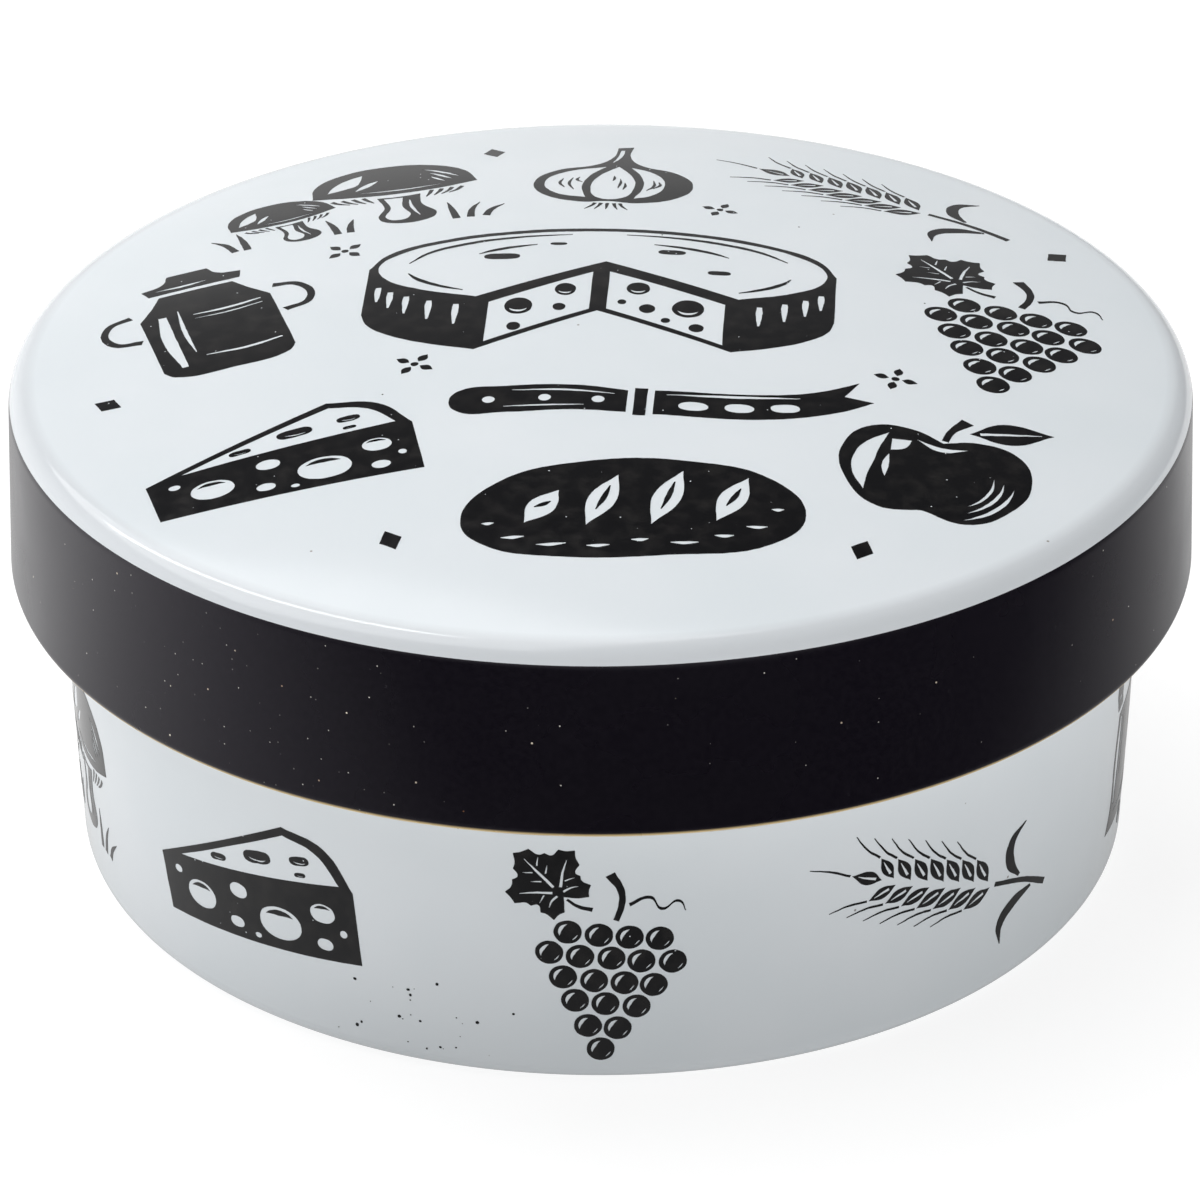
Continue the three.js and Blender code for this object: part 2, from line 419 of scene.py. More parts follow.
def vine_leaf():
    """A broad toothed vine leaf with its veins left white."""
    teeth = 34
    edge = [(0.0, -4.6, 1)]
    for tooth in range(teeth):
        angle = math.radians(-72 + 324 * tooth / (teeth - 1))
        point_out = tooth % 2
        reach = 8.6 + 1.5 * math.cos(5 * (angle - QUARTER)) + 0.9 * math.sin(angle) + 0.9 * point_out - 0.45
        edge.append((reach * math.cos(angle), reach * math.sin(angle)) + (1,) * point_out)
    loops = [edge]
    main_veins = ((90, 8.6, 0.75), (18, 7.6, 0.65), (162, 7.6, 0.65), (-46, 6.4, 0.55), (226, 6.4, 0.55))
    for angle, reach, width in main_veins:
        x, y = math.cos(math.radians(angle)), math.sin(math.radians(angle))
        start, end = (x * 1.3, y * 1.3 - 2.6), (x * reach, y * reach)
        bend = ((start[0] + end[0]) / 2, (start[1] + end[1]) / 2 + 0.3)
        loops.append(brush([start, bend, end], [width, width * 0.8, 0.15]))
    side_veins = ((1.1, 2.6, 40), (-1.1, 1.6, 140), (1.0, 5.4, 42), (-1.0, 4.6, 138))
    for x, y, angle in side_veins + ((3.1, -1.5, -20), (-3.1, -1.5, 200)):
        tip = (x + 2.4 * math.cos(math.radians(angle)), y + 2.4 * math.sin(math.radians(angle)))
        loops.append(vein((x, y), tip, 0.36, 0.0, 1.0))
    return loops + [brush([(0.1, -5.6), (0.7, -8.4), (2.6, -11.4)], [0.6, 0.8, 1.2])]


def grapes():
    """A bunch of grapes under its stalk and a leaf."""
    loops = []
    jostle = random.Random(7)
    for row, count in enumerate((4, 5, 4, 3, 2, 1)):
        for berry in range(count):
            x = (berry - (count - 1) / 2) * 4.35 + jostle.uniform(-0.12, 0.12)
            y = 4.0 - row * 3.85 + jostle.uniform(-0.12, 0.12)
            loops += [oval(x, y, 4.0, 3.9), crescent(x, y, 1.35, 95, 215, 0.55)]
            loops.append(crescent(x, y, 1.5, 300, 350, 0.18))
    tendril = [(1.6, 9.4), (4.4, 10.8), (6.2, 9.0), (8.4, 10.4), (9.6, 8.8)]
    loops.append(brush([(0.0, 6.6), (0.5, 9.2), (0.2, 11.6), (-1.6, 14.2)], [0.9, 0.9, 1.0, 1.5]))
    loops.append(brush(tendril, [0.6, 0.5, 0.45, 0.4, 0.15]))
    return loops + placed(vine_leaf(), -9.8, 11.6, 0.62, 48)


def wheat():
    """An ear of wheat on its stalk."""
    loops = [brush([(0.0, -18.0), (0.5, -12.0), (0.0, -5.4)], [1.0, 0.85, 0.7])]
    first, step, pairs = -4.4, 3.1, 7
    for pair in range(pairs):
        shrink = 1.0 - 0.05 * max(pair - 3, 0)
        for side in (-1, 1):
            base = (0.45 * side, first + pair * step + 0.4 * (1 + side))
            tip = (base[0] + 3.3 * shrink * side, base[1] + 4.0 * shrink)
            awn = [(tip[0] + out * side, tip[1] + up) for out, up in ((0.12, 0.3), (1.0, 2.8), (2.7, 5.4))]
            loops += [blade(base, tip, 2.1 * shrink, 0.5), vein(base, tip, 0.42, 0.25, 0.8)]
            loops.append(brush(awn, [0.36, 0.3, 0.12]))
    base = (0.1, first + pairs * step - 0.4)
    tip = (base[0], base[1] + 5.0)
    loops += [blade(base, tip, 2.1), vein(base, tip, 0.4)]
    loops.append(brush([(0.1, tip[1] + 0.3), (0.3, tip[1] + 3.4), (0.0, tip[1] + 6.8)], [0.36, 0.3, 0.12]))
    loops.append(brush([(1.3, -10.5), (3.0, -7.6), (6.4, -6.4), (9.4, -8.2)], [0.5, 1.7, 1.4, 0.15]))
    return loops + [brush([(-0.4, -14.4), (-2.8, -11.2), (-6.2, -9.6), (-9.0, -11.0)], [0.5, 1.7, 1.4, 0.15])]


def apple():
    """An apple with its stalk and leaf."""
    half = [(3.4, 6.9), (7.6, 6.2), (9.9, 1.6), (8.6, -4.4), (4.6, -8.4)]
    body = [(0.0, 5.4, 1)] + half + [(0.0, -7.6, 1)] + [(-x, y) for x, y in half[::-1]]
    loops = [body, crescent(-0.6, -0.6, 7.9, 130, 222, 2.2), crescent(-0.4, -0.4, 5.0, 158, 210, 0.7)]
    loops.append([(-2.9, 5.2, 1), (0.0, 3.7), (2.9, 5.2, 1), (0.0, 4.5)])
    for start, reach, width in ((-62, 8.0, 0.5), (-56, 6.9, 0.42), (-50, 5.9, 0.35)):
        loops.append(crescent(0.4, -0.8, reach, start, start + 66, width))
    loops.append([(-5.2, 4.4, 1), (-3.2, 4.7, 1), (-3.6, 3.0), (-5.0, 2.2, 1)])
    loops.append(brush([(0.1, 5.9), (0.4, 8.0), (1.7, 10.6)], [0.8, 0.8, 1.5]))
    base, tip = (2.3, 8.4), (10.6, 11.8)
    return loops + [blade(base, tip, 4.0), vein(base, tip, 0.5, 0.12, 0.86)]


def mushroom():
    """A field mushroom with its gills."""
    cap = [(-9.6, 0.6, 1), (-8.6, 5.0), (-4.6, 8.5), (0.2, 9.4), (4.8, 8.4), (8.6, 5.0), (9.6, 0.4, 1)]
    cap += [(4.8, -1.0), (0, -1.4), (-4.8, -0.8)]
    loops = [cap, crescent(0.2, -0.4, 8.2, 112, 163, 2.4), crescent(0.2, -0.4, 5.0, 108, 160, 0.9)]
    for reach, start, end, width in ((8.3, 22, 62, 0.5), (7.2, 20, 52, 0.45), (6.1, 18, 44, 0.4)):
        loops.append(crescent(0.2, -0.6, reach, start, end, width))
    loops.append(nick((-4.0, 0.4), (0.4, -0.1), (5.4, 0.4), 0.4))
    for x in (-7.6, -6.4, -5.2, -4.0, 4.0, 5.2, 6.4, 7.6):
        drop = 2.5 - 0.16 * abs(x)
        gill = [(x, -1.8 + 0.07 * abs(x)), (x * 0.9, -1.8 - drop * 0.4), (x * 0.76, -1.8 - drop)]
        loops.append(brush(gill, [0.5, 0.42, 0.15]))
    half = [(2.0, -11.2), (3.3, -9.6), (2.2, -6.0)]
    stalk = [(-2.5, -2.3, 1)] + [(-x, y) for x, y in half[::-1]] + half + [(2.5, -2.3, 1), (0.0, -2.6)]
    lit = [(-1.8, -2.8, 1), (-1.5, -6.2), (-2.4, -9.6), (-1.2, -10.5)]
    lit += [(0.2, -9.6), (-0.1, -6.0), (0.4, -3.0, 1)]
    return loops + [stalk, lit, nick((1.0, -4.0), (0.9, -6.6), (1.4, -9.6), 0.4)]


def mushrooms():
    """Two mushrooms in the grass."""
    loops = placed(mushroom(), 4.2, 1.4, 1.0, 0) + placed(mushroom(), -9.4, -3.4, 0.66, 12)
    foot = -10.8
    left = ((-16.0, -2.2, 4.4), (-14.6, -0.6, 5.6), (-4.2, -0.8, 5.0), (-2.8, 0.9, 4.0))
    for x, lean, high in left + ((9.4, -0.2, 5.6), (11.0, 1.8, 4.6), (12.8, 2.6, 3.2)):
        stem = [(x, foot), (x + lean * 0.35, foot + high * 0.55), (x + lean, foot + high)]
        loops.append(brush(stem, [0.9, 0.7, 0.1]))
    return loops


def garlic():
    """A bulb of garlic."""
    half = [(1.1, 8.4), (2.8, 5.0), (7.6, 2.2), (9.9, -2.4), (8.4, -7.2), (3.6, -9.8)]
    loops = [[(-0.9, 12.6, 1), (1.0, 13.2, 1)] + half + [(0.0, -9.4)] + [(-x, y) for x, y in half[::-1]]]
    clove = [(2.1, 0.2), (2.7, -4.2), (1.2, -8.4)]
    loops.append([(0.0, 4.4, 1)] + clove + [(-x, y) for x, y in clove[::-1]])
    edge = [(1.5, 4.2, 1), (3.2, 0.4), (3.8, -4.2), (3.0, -8.2, 1)]
    loops.append([(-p[0],) + p[1:] for p in edge] + [(-6.8, -6.8), (-8.6, -2.6), (-6.6, 1.5)])
    loops.append(edge + [(5.0, -7.0), (6.4, -2.6), (4.8, 1.8)])
    loops.append(brush([(-0.2, 11.6), (-0.3, 8.6), (-0.9, 6.0)], [0.5, 0.5, 0.2]))
    for x, y, high in ((0.7, -2.6, 3.6), (1.4, -3.6, 2.6), (-0.2, -0.6, 2.0)):
        loops.append(nick((x, y + high / 2), (x + 0.15, y), (x, y - high / 2), 0.36))
    sides = ((-5.0, -3.0, 4.6), (-6.2, -2.8, 3.4), (-4.2, -1.4, 2.0), (4.6, -3.0, 4.0), (5.3, -2.8, 2.6))
    for x, y, high in sides:
        lean = math.copysign(0.25, -x)
        loops.append(nick((x - lean, y + high / 2), (x - lean * 2, y), (x + lean, y - high / 2), 0.4))
    for x in (-1.9, -1.0, 0.0, 1.0, 1.9):
        loops.append(brush([(x * 0.8, -10.2), (x, -11.2), (x * 1.4, -12.4)], [0.5, 0.36, 0.1]))
    return loops


def knife():
    """A cheese knife with holes in its blade and a forked tip."""
    fork = [(20.4, 7.0, 1), (19.0, 4.0, 1), (22.0, 3.4, 1)]
    loops = [[(0.0, 2.3, 1), (11.0, 2.8), (16.0, 4.2)] + fork + [(18.6, 0.8), (11.0, -2.0), (0.0, -2.3, 1)]]
    loops += [oval(4.0, -0.4, 3.0, 1.7), oval(8.6, -0.2, 3.0, 1.7, 2), oval(13.2, 0.5, 3.0, 1.6, 8)]
    loops.append(nick((1.2, 1.6), (8.0, 1.9), (14.6, 2.7), 0.5))
    loops.append([(-2.0, 2.6, 1), (-0.7, 2.6, 1), (-0.7, -2.6, 1), (-2.0, -2.6, 1)])
    butt = [(-19.6, 1.6), (-20.6, -0.4), (-19.4, -2.6)]
    grip = [(-2.7, 2.1, 1), (-8.0, 2.9), (-15.0, 2.5)] + butt + [(-15.0, -2.6), (-8.0, -1.9), (-2.7, -2.1, 1)]
    loops.append(grip)
    loops += [oval(-5.6, 0.2, 1.3, 1.3), oval(-11.0, 0.3, 1.3, 1.3), oval(-16.6, -0.2, 1.3, 1.3)]
    loops.append(nick((-4.0, 1.4), (-8.6, 1.9), (-14.4, 1.7), 0.36))
    return loops + [nick((-7.0, -0.9), (-10.6, -1.1), (-15.0, -1.5), 0.3)]


def loaf():
    """A country loaf, slashed across its crust."""
    crust = [(-16.4, -1.2), (-12.6, 5.0), (-4.2, 7.8), (6.0, 7.4), (13.6, 4.4), (16.4, -1.4)]
    loops = [crust + [(12.8, -6.0), (3.0, -7.6), (-8.0, -7.2), (-14.2, -5.0)]]
    for x, low, high in ((-10.4, -1.8, 3.2), (-4.6, -2.6, 5.4), (1.6, -2.8, 5.8), (7.8, -2.4, 4.6)):
        middle = (x + 2.0, (low + high) / 2 + 0.3)
        loops.append(blade((x, low), (x + 3.6, high), 2.7, 0.5))
        loops.append(nick((x + 1.1, low + 2.4), middle, (x + 2.7, high - 1.8), 0.55))
    flour = ((-11.6, -4.0, 2.2), (-8.0, -5.4, 2.8), (-3.6, -5.9, 2.2), (0.4, -5.2, 1.6), (4.6, -5.8, 2.6))
    for x, y, across in flour + ((8.4, -4.8, 1.8), (11.6, -3.4, 2.0), (-13.8, -1.6, 1.2), (13.8, -0.6, 1.2)):
        loops.append(nick((x - across / 2, y + 0.1), (x, y), (x + across / 2, y + 0.1), 0.5))
    return loops


def bell():
    """A cow bell on its strap."""
    half = [(6.2, 0.0), (7.2, -6.0), (9.4, -9.2, 1), (4.8, -10.2)]
    mirrored = [(-p[0],) + p[1:] for p in half[::-1]]
    loops = [[(-4.4, 6.4, 1), (4.4, 6.4, 1)] + half + [(0.0, -10.5)] + mirrored]
    loops.append(brush([(-3.2, 5.4), (-4.6, 0.0), (-5.8, -6.6)], [0.7, 1.5, 0.6]))
    loops.append(nick((-1.6, 5.2), (-2.4, 0.4), (-3.0, -4.0), 0.5))
    loops.append(nick((-5.6, -7.9), (0.0, -8.6), (7.0, -7.7), 0.55))
    loops.append(nick((4.4, 2.4), (5.2, -1.6), (5.8, -5.4), 0.4))
    loops.append(nick((3.4, 1.4), (4.0, -2.0), (4.5, -5.2), 0.35))
    loops += [oval(0.2, -12.4, 3.4, 2.8), oval(-0.4, -12.0, 1.0, 0.8)]
    outside = [(-5.2, 7.3, 1), (-5.6, 11.0), (-3.0, 14.0), (3.0, 14.0), (5.6, 11.0), (5.2, 7.3, 1)]
    inside = [(2.8, 7.3, 1), (2.9, 9.9), (1.6, 11.3), (-1.6, 11.3), (-2.9, 9.9), (-2.8, 7.3, 1)]
    loops += [outside + inside, oval(-4.2, 9.0, 0.8, 0.8), oval(4.2, 9.0, 0.8, 0.8)]
    return loops + [nick((-2.4, 12.6), (0.0, 13.1), (2.4, 12.6), 0.4)]


def filled(loops):
    """Fills a drawing, with each outline inside another cut out of it, as a flat mesh."""
    outline = bpy.data.curves.new("outline", "CURVE")
    outline.dimensions = "2D"
    outline.fill_mode = "BOTH"
    outline.resolution_u = CURVE_STEPS
    for loop in loops:
        stretch = outline.splines.new("BEZIER")
        stretch.use_cyclic_u = True
        stretch.bezier_points.add(len(loop) - 1)
        for point, knot in zip(loop, stretch.bezier_points):
            knot.co = (point[0], point[1], 0.0)
            kind = "VECTOR" if len(point) > 2 else "AUTO"
            knot.handle_left_type = kind
            knot.handle_right_type = kind
    drawing = bpy.data.objects.new("outline", outline)
    bpy.context.scene.collection.objects.link(drawing)
    graph = bpy.context.evaluated_depsgraph_get()
    flat = bpy.data.meshes.new_from_object(drawing.evaluated_get(graph))
    bpy.data.objects.remove(drawing)
    bpy.data.curves.remove(outline)
    return flat


def drawn_box(flat):
    """The lowest and highest corners of a flat drawing."""
    places = [vert.co for vert in flat.vertices]
    return [[pick(place[axis] for place in places) for axis in range(3)] for pick in (min, max)]


def facing(place, onto):
    """The way out of the pot at a place of the flat sheet."""
    right = Vector(onto((place + ACROSS) * MM)) - Vector(onto((place - ACROSS) * MM))
    up = Vector(onto((place + ALONG) * MM)) - Vector(onto((place - ALONG) * MM))
    return right.cross(up).normalized()


def transfer(prints, name, columns, rows, onto):
    """Makes a thin sheet of ink: cut along columns and rows so that it bends, and laid on the pot."""
    sheet = bmesh.new()
    for loops, x, y, size, turn in prints:
        flat = filled(loops)
        corners = [Vector(corner) for corner in drawn_box(flat)]
        to_middle = Matrix.Translation(-(corners[0] + corners[1]) / 2)
        turned = Matrix.Rotation(math.radians(turn), 4, "Z") @ Matrix.Scale(size, 4)
        flat.transform(Matrix.Translation((x, y, 0.0)) @ turned @ to_middle)
        sheet.from_mesh(flat)
        bpy.data.meshes.remove(flat)
    for _ in range(EDGE_HALVINGS):
        long = [edge for edge in sheet.edges if edge.is_boundary and edge.calc_length() > EDGE_STEP]
        bmesh.ops.subdivide_edges(sheet, edges=long, cuts=1)
    noise.seed_set(WOBBLE_SEED)
    for vert in sheet.verts:
        if vert.is_boundary:
            wander = noise.noise_vector(vert.co * EDGE_GRAIN) * EDGE_WOBBLE
            vert.co += Vector((wander.x, wander.y, 0.0))
    for cuts, across in ((columns, ACROSS), (rows, ALONG)):
        for cut in cuts:
            parts = sheet.verts[:] + sheet.edges[:] + sheet.faces[:]
            bmesh.ops.bisect_plane(sheet, geom=parts, plane_co=across * cut, plane_no=across, dist=CUT_SNAP)
    bmesh.ops.dissolve_degenerate(sheet, dist=SHORTEST_EDGE, edges=sheet.edges[:])
    bmesh.ops.triangulate(sheet, faces=sheet.faces[:])
    bmesh.ops.translate(sheet, verts=sheet.verts[:], vec=(0.0, 0.0, -INK_SUNK))
    raised = bmesh.ops.extrude_face_region(sheet, geom=sheet.faces[:], use_keep_orig=True)["geom"]
    raised = [part for part in raised if isinstance(part, bmesh.types.BMVert)]
    bmesh.ops.translate(sheet, verts=raised, vec=(0.0, 0.0, INK_SUNK + INK_PROUD))
    bmesh.ops.recalc_face_normals(sheet, faces=sheet.faces[:])
    for edge in sheet.edges:
        edge.smooth = edge.calc_face_angle(0.0) < QUARTER / 2
    for face in sheet.faces:
        face.smooth = True

    # The ink's top is shaded as smooth as the pot under it, and no normal leaves a side its own.
    normals = []
    for face in sheet.faces:
        on_top = face.normal.z > FACING_UP
        normals += [facing(vert.co, onto) if on_top else NO_NORMAL for vert in face.verts]
    for vert in sheet.verts:
        vert.co = onto(vert.co * MM)
    piece = stand(sheet, name, [ink])
    piece.data.normals_split_custom_set(normals)
    return piece


def onto_dish(point):
    """A point of the flat sheet on the wall: X runs round it from the front, Y up from the table."""
    radius = inside_dish(point.y, -point.z)
    turn = point.x / PRINT_RADIUS
    return radius * math.sin(turn), -radius * math.cos(turn), point.y


ON_DISH = (
    (mushrooms, -79, 17.5, 0.92, 0),
    (wedge, -40, 19.0, 0.98, 7),
    (grapes, -1, 17.5, 0.80, -6),
    (wheat, 38, 19.0, 0.84, 68),
    (bell, 78, 18.0, 0.95, 8),
    (knife, 119, 18.5, 0.95, 14),
    (garlic, 158, 18.0, 1.0, -6),
    (loaf, 198, 18.5, 0.98, 8),
    (apple, 238, 18.5, 1.06, -8),
)
round_wall = PRINT_RADIUS / MM
prints = []
for draw, angle, height, size, turn in ON_DISH:
    prints.append((draw(), math.radians(angle) * round_wall, height, size, turn))
spatter = random.Random(11)
for _ in range(STRAY_SPOTS):
    spot = oval(0.0, 0.0, 1.0, spatter.uniform(0.7, 1.2))
    size = SPOT_SMALL + SPOT_RANGE * spatter.random() ** 3
    along = spatter.gauss(SPOT_MIDDLE, SPOT_SPREAD)
    prints.append(([spot], along, spatter.uniform(SPOT_LOW, SPOT_HIGH), size, 0.0))
half_round = int(PRINT_END * round_wall / DISH_CELL)
columns = [step * DISH_CELL for step in range(-half_round // 2, half_round)]
dish_print = transfer(prints, "dish_print", columns, (), onto_dish)
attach(dish_print, "dish")

# Lid. One cast porcelain cap: a shallow dome, a tight shoulder and a deep skirt that opens a
# little downwards. A satin black band is laid on the skirt's outside while the lid turns on a
# wheel, and the skirt's lower edge is wiped bare before firing.
LID_CLEARANCE = 0.9 * MM
LID_SEAT_GAP = 0.3 * MM
LID_WALL = 3.5 * MM
LID_TOP = 4.5 * MM
DOME_RADIUS = 320.0 * MM
SHOULDER = 3.0 * MM
SKIRT_DRAFT = math.radians(1.5)
SKIRT_EDGE = 1.5 * MM
BAND_LAP = 0.8 * MM
BAND_FOOT = math.radians(-42.0)
BAND_FRAY = 0.5 * MM
SKIRT_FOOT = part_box("lid")[0][2]


def skirt_radius(height, distance):
    """Radius of a line parallel to the skirt's inner wall and this far outside it."""
    opening = (DISH_HEIGHT - height) * math.tan(SKIRT_DRAFT)
    return DISH_RIM_RADIUS + LID_CLEARANCE + opening + distance / math.cos(SKIRT_DRAFT)


ceiling_radius = DOME_RADIUS - LID_TOP
rim_reach = ceiling_radius - LID_SEAT_GAP - RIM_ROUNDING
dome = 0.0, rim[1] - math.sqrt(rim_reach**2 - rim[0] ** 2)


def rounding_centre(sphere, distance, rounding):
    """Centre of a rounding that touches a sphere about the dome's centre and a line along the skirt."""
    slope = math.tan(SKIRT_DRAFT)
    at_table = skirt_radius(0.0, distance - rounding)
    a = 1 + slope**2
    b = at_table * slope + dome[1]
    c = at_table**2 + dome[1] ** 2 - (sphere - rounding) ** 2
    height = (b + math.sqrt(b**2 - a * c)) / a
    return at_table - height * slope, height


def angle_from_dome(centre):
    """Angle above outwards of the line from the dome's centre through this one."""
    return math.atan2(centre[1] - dome[1], centre[0])


inner_corner = rounding_centre(ceiling_radius, 0.0, RIM_ROUNDING)
shoulder = rounding_centre(DOME_RADIUS, LID_WALL, SHOULDER)
inner_angle = angle_from_dome(inner_corner)
shoulder_angle = angle_from_dome(shoulder)
band_angle = math.asin(BAND_LAP / SHOULDER) + SKIRT_DRAFT
edge_height = SKIRT_FOOT + SKIRT_EDGE
inner_edge = skirt_radius(edge_height, SKIRT_EDGE), edge_height
outer_edge = skirt_radius(edge_height, LID_WALL - SKIRT_EDGE), edge_height

section, point = start_section(*on_arc(dome, ceiling_radius, QUARTER))
point = arc_about(section, point, dome, inner_angle - QUARTER, 24)
point = arc_about(section, point, inner_corner, SKIRT_DRAFT - inner_angle, 10)
point = line_to(section, point, *on_arc(inner_edge, SKIRT_EDGE, math.pi + SKIRT_DRAFT))
point = arc_about(section, point, inner_edge, QUARTER - SKIRT_DRAFT, 8)
point = line_to(section, point, *on_arc(outer_edge, SKIRT_EDGE, -QUARTER))
point = arc_about(section, point, outer_edge, QUARTER + BAND_FOOT, 6)
point = arc_about(section, point, outer_edge, SKIRT_DRAFT - BAND_FOOT, 8)
point = line_to(section, point, *on_arc(shoulder, SHOULDER, SKIRT_DRAFT))
point = arc_about(section, point, shoulder, band_angle - SKIRT_DRAFT, 4)
band_top = point.co.z
point = arc_about(section, point, shoulder, shoulder_angle - band_angle, 12)
point = arc_about(section, point, dome, QUARTER - shoulder_angle, 28)
band_bottom = on_arc(outer_edge, SKIRT_EDGE, BAND_FOOT)[1]
middle_of_wall = skirt_radius(SKIRT_FOOT, LID_WALL / 2)

BAND_TONE = (0.0034, 0.0022, 0.0058, 1.0)
BAND_THIN = (0.0058, 0.0043, 0.0084, 1.0)
BAND_SHEEN = (0.95, 0.91, 1.0, 1.0)
BAND_AMBER = (0.85, 0.63, 0.29, 1.0)
BAND_SMOOTH = 0.22
BAND_ROUGH = 0.31
BAND_GRAIN = 0.004 * MM
PIT_DEPTH = 0.03 * MM
LINT_FAINT = (0.03, 0.03, 0.035, 1.0)
LINT_PALE = (0.70, 0.68, 0.62, 1.0)
CRUMB_BROWN = (0.20, 0.07, 0.015, 1.0)
CRUMB_PALE = (0.85, 0.80, 0.66, 1.0)
DUST_SPOT = (-41.0 * MM, -56.0 * MM, 44.0 * MM)
DUST_NEAR = 6.0 * MM
DUST_FAR = 34.0 * MM
DUST_THICK = 0.9
DUST_THIN = 0.12

band, tree, shader = start_material("black_band")
place = add_node(tree, "TexCoord", {}).outputs["Object"]
worn = add_node(tree, "TexNoise", {"Vector": place, "Scale": 45.0, "Detail": 4.0}).outputs["Fac"]
grain = add_node(tree, "TexNoise", {"Vector": place, "Scale": 3600.0, "Detail": 2.0}).outputs["Fac"]
mottle = add_node(tree, "TexNoise", {"Vector": place, "Scale": 1500.0, "Detail": 3.0}).outputs["Fac"]
tone = blend(tree, spread(tree, mottle, 0.0, 1.0, 0.35, 0.65), BAND_TONE, BAND_THIN)

# Lint and crumbs lie thickest round one spot, and a few pits are left all over.
gap = add_node(tree, "VectorMath", {0: place, 1: DUST_SPOT}, operation="DISTANCE").outputs["Value"]
thick = spread(tree, gap, DUST_THICK, DUST_THIN, DUST_NEAR, DUST_FAR)
lint = add_node(tree, "Group", {"Cells": 850.0, "Share": thick, "Size": 0.085}, node_tree=specks).outputs
crumbs = add_node(tree, "Group", {"Cells": 380.0, "Share": thick, "Size": 0.055}, node_tree=specks).outputs
pits = add_node(tree, "Group", {"Cells": 240.0, "Share": 0.6, "Size": 0.05}, node_tree=specks).outputs
dusted = blend(tree, lint["Mask"], tone, blend(tree, lint["Lot"], LINT_FAINT, LINT_PALE))
dusted = blend(tree, crumbs["Mask"], dusted, blend(tree, crumbs["Lot"], CRUMB_BROWN, CRUMB_PALE))

# The black thins to amber where it ends under the skirt.
height = add_node(tree, "SeparateXYZ", {"Vector": place}).outputs["Z"]
frayed = spread(tree, height, 1.0, 0.0, band_bottom, band_bottom + BAND_FRAY)
tooth = add_node(tree, "Bump", {"Height": grain, "Distance": BAND_GRAIN}).outputs["Normal"]
sunk = {"Height": pits["Mask"], "Distance": PIT_DEPTH, "Normal": tooth}
dented = add_node(tree, "Bump", sunk, invert=True).outputs["Normal"]
feed(tree, shader, {
    "Base Color": blend(tree, frayed, dusted, BAND_AMBER),
    "Roughness": spread(tree, worn, BAND_SMOOTH, BAND_ROUGH, 0.3, 0.7),
    "Specular Tint": BAND_SHEEN,
    "Normal": dented,
})


def lid_finish(radius, height, normal):
    """0 is glaze, 1 the band and 2 the wiped edge."""
    if height < edge_height and (height < band_bottom or radius < middle_of_wall):
        return 2
    return int(radius > middle_of_wall and height < band_top)


lid = throw(section, "glazed_lid", [glaze, band, bare], lid_finish)
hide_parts("lid")
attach(lid, "lid")

# Lid print. One large transfer over the dome: a cut cheese in the middle, ringed by more of the
# larder's woodcuts with small stars and lozenges between them, fired into the glaze like the dish's.
LID_CELL = 4.0
PRINT_REACH = 62.0
DOME_SPOTS = 9
DOME_SPOT = 0.22
SPOTS_ACROSS = 50.0
SPOTS_DEEP = 30.0


def along_oval(x, y, across, high, start, end, count):
    """Points along an ellipse between two angles, round but for the first and last."""
    points = []
    for step in range(count):
        angle = math.radians(start + (end - start) * step / (count - 1))
        end_point = (1,) if step in (0, count - 1) else ()
        points.append((x + across / 2 * math.cos(angle), y + high / 2 * math.sin(angle)) + end_point)
    return points


def wheel():
    """A whole cheese with a piece cut out of its front."""
    wide, deep, top, low = 44.0, 18.0, 4.5, -5.5
    left, right = 240, 305
    loops = [along_oval(0, top, wide, deep, 0, 180, 9) + along_oval(0, low, wide, deep, 180, left, 5)]
    loops[0] += [(0.0, low, 1)] + along_oval(0, low, wide, deep, right, 360, 5)
    face = along_oval(0, top, wide - 1.7, deep - 1.4, right - 357, left - 3, 15)
    loops.append(face + [(0.3, top + 0.9, 1)])
    loops.append([(-0.8, 3.0, 1), (-10.2, -3.7, 1), (-10.2, -11.8, 1), (-0.8, -5.2, 1)])
    loops.append([(0.8, 3.1, 1), (11.8, -3.3, 1), (11.8, -11.6, 1), (0.8, -5.1, 1)])
    large = ((-3.2, -1.0, 2.0, 2.6), (-7.4, -4.6, 2.6, 3.4), (3.6, -0.6, 2.2, 2.6), (8.4, -4.6, 3.0, 3.6))
    small = ((-7.6, -8.8, 1.3, 1.6), (-3.6, -4.8, 1.2, 1.5), (9.3, -8.5, 1.4, 1.6), (4.6, -4.9, 1.5, 1.8))
    for x, y, across, high in large + small + ((2.2, -3.6, 0.8, 1.0), (6.4, -7.2, 0.9, 1.0)):
        loops.append(oval(x, y, across, high))
        if across > 1.9:
            loops.append(crescent(x, y, across * 0.36, 200, 340, across * 0.12, high / across))
    for angle in (199, 207, 215, 224, 233, 313, 322, 331, 340):
        x, y = along_oval(0, top, wide, deep, angle, angle + 1, 2)[0][:2]
        drop = 6.6 - 0.03 * abs(angle - 270)
        loops.append(brush([(x, y - 1.3), (x, y - drop / 2), (x, y - drop)], [0.5, 0.62, 0.2]))
    rings = ((0.84, 20, 84), (0.84, 100, 172), (0.62, 30, 70), (0.62, 118, 150))
    for share, start, end in rings + ((0.84, 190, 226), (0.82, 316, 350)):
        line = [point[:2] for point in along_oval(0, top, wide * share, deep * share, start, end, 5)]
        loops.append(brush(line, [0.12, 0.4, 0.5, 0.4, 0.12]))
    dimples = ((-9.6, 6.6, 3.4, 1.3), (6.4, 8.0, 2.6, 1.0), (11.0, 3.6, 2.2, 0.9), (-4.4, 9.6, 1.6, 0.6))
    return loops + [oval(*dimple) for dimple in dimples]


